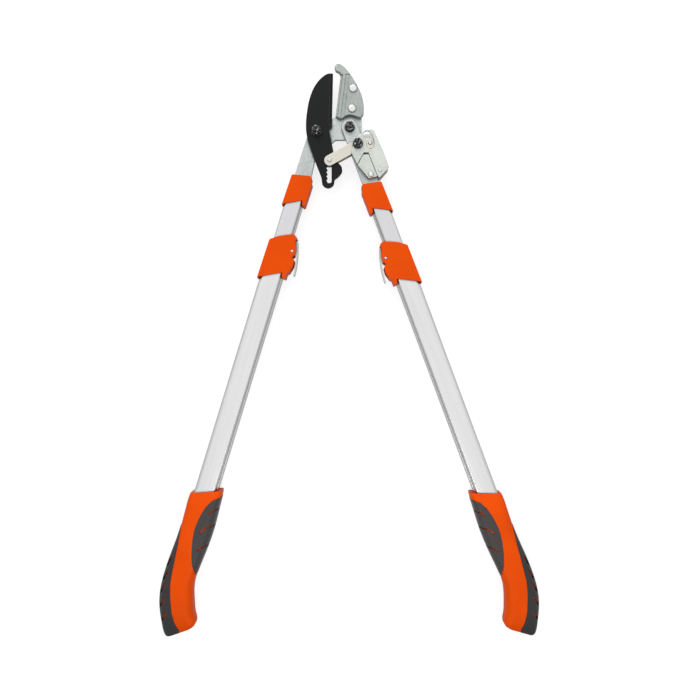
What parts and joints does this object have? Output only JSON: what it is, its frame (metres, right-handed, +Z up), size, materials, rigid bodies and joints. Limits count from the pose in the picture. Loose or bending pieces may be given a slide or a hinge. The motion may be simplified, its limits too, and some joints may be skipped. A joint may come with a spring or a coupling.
{
  "type": "ratchet anvil lopper",
  "caption": "Long-handled ratchet anvil lopper with a curved black blade, hooked anvil, linked ratchet head and two telescopic tube handles with lever clamps and soft grips, lying flat.",
  "frame": {"origin": "middle of the underside of the whole box, on the surface that the tool lies on", "axes": "+Z up from that surface, through the tool's thickness; +Y towards the cutting head; +X towards the right handle seen from above"},
  "size_m": [0.4522, 0.6834, 0.03],
  "materials": {
    "blade_coating": "satin black non-stick coating",
    "arm_metal": "blasted and plated",
    "anvil_metal": "cast, matt grey",
    "zinc_plate": "zinc plated sheet",
    "nickel_plate": "nickel plated",
    "bright_rivet": "bright zinc",
    "spring_steel": "drawn wire",
    "black_fastener": "black oxide",
    "tube_aluminium": "satin anodised",
    "orange_plastic": "moulded",
    "soft_grip": "soft touch",
    "guide_plastic": "moulded acetal",
    "lever_metal": "zinc plated"
  },
  "bodies": {
    "left_head": {"left_arm": "arm_metal", "anvil": "anvil_metal", "anvil_rivets": "bright_rivet", "blade_bolt": "black_fastener", "blade_washer": "black_fastener", "blade_nut": "black_fastener", "main_bolt": "black_fastener", "main_washer": "black_fastener", "main_nut": "black_fastener", "left_upper_collar": "orange_plastic", "left_tang_rivets": "bright_rivet", "left_inner_tube": "tube_aluminium", "left_end_plug": "guide_plastic"},
    "blade_body": {"blade": "blade_coating"},
    "right_head": {"right_arm": "arm_metal", "ratchet_bracket": "zinc_plate", "keeper_plate": "zinc_plate", "keeper_rivet": "bright_rivet", "keeper_spacers": "zinc_plate", "spring_anchor": "bright_rivet", "ratchet_spring": "spring_steel", "lever_bolt": "black_fastener", "lever_washer": "black_fastener", "lever_nut": "black_fastener", "lever_spacers": "zinc_plate", "right_upper_collar": "orange_plastic", "right_tang_rivets": "bright_rivet", "right_inner_tube": "tube_aluminium", "right_end_plug": "guide_plastic"},
    "ratchet_link": {"link_front": "nickel_plate", "link_rear": "nickel_plate", "ratchet_pin": "bright_rivet", "tail_pin": "bright_rivet"},
    "left_slide": {"left_outer_tube": "tube_aluminium", "left_guide_bush": "guide_plastic", "left_clamp_collar": "orange_plastic", "left_clamp_pin": "bright_rivet", "left_clamp_shoe": "lever_metal", "left_grip": "orange_plastic", "left_thumb_pad": "soft_grip", "left_palm_pad": "soft_grip"},
    "left_lever": {"left_clamp_lever": "lever_metal"},
    "right_slide": {"right_outer_tube": "tube_aluminium", "right_guide_bush": "guide_plastic", "right_clamp_collar": "orange_plastic", "right_clamp_pin": "bright_rivet", "right_clamp_shoe": "lever_metal", "right_grip": "orange_plastic", "right_thumb_pad": "soft_grip", "right_palm_pad": "soft_grip"},
    "right_lever": {"right_clamp_lever": "lever_metal"}
  },
  "joints": [
    {"name": "handle_swing", "type": "hinge", "parent": "left_head", "child": "right_head", "pos_m": [0.00064, 0.26622, 0.015], "axis": [0, 0, 1], "range_deg": [-9.5, 36]},
    {"name": "blade_swing", "type": "hinge", "parent": "left_head", "child": "blade_body", "pos_m": [-0.03916, 0.26182, 0.015], "axis": [0, 0, 1], "range_deg": [-5.66, 21.43]},
    {"name": "link_swing", "type": "hinge", "parent": "right_head", "child": "ratchet_link", "pos_m": [0.01035, 0.24462, 0.015], "axis": [0, 0, 1], "range_deg": [-33.67, 8.89], "deforming": ["ratchet_spring"]},
    {"name": "left_handle_extend", "type": "slide", "parent": "left_head", "child": "left_slide", "axis": [-0.2924, -0.9563, 0], "range_m": [-0.034, 0.27]},
    {"name": "left_clamp_lift", "type": "hinge", "parent": "left_slide", "child": "left_lever", "pos_m": [-0.06766, 0.1166, 0.015], "axis": [0, 0, 1], "range_deg": [0, 20]},
    {"name": "right_handle_extend", "type": "slide", "parent": "right_head", "child": "right_slide", "axis": [0.3486, -0.9373, 0], "range_m": [-0.034, 0.27]},
    {"name": "right_clamp_lift", "type": "hinge", "parent": "right_slide", "child": "right_lever", "pos_m": [0.04311, 0.10842, 0.015], "axis": [0, 0, -1], "range_deg": [0, 20]}
  ],
  "couplings": [
    {"joint": "blade_swing", "follows": "handle_swing", "ratio": 0.595},
    {"joint": "link_swing", "follows": "handle_swing", "ratio": -0.935}
  ]
}
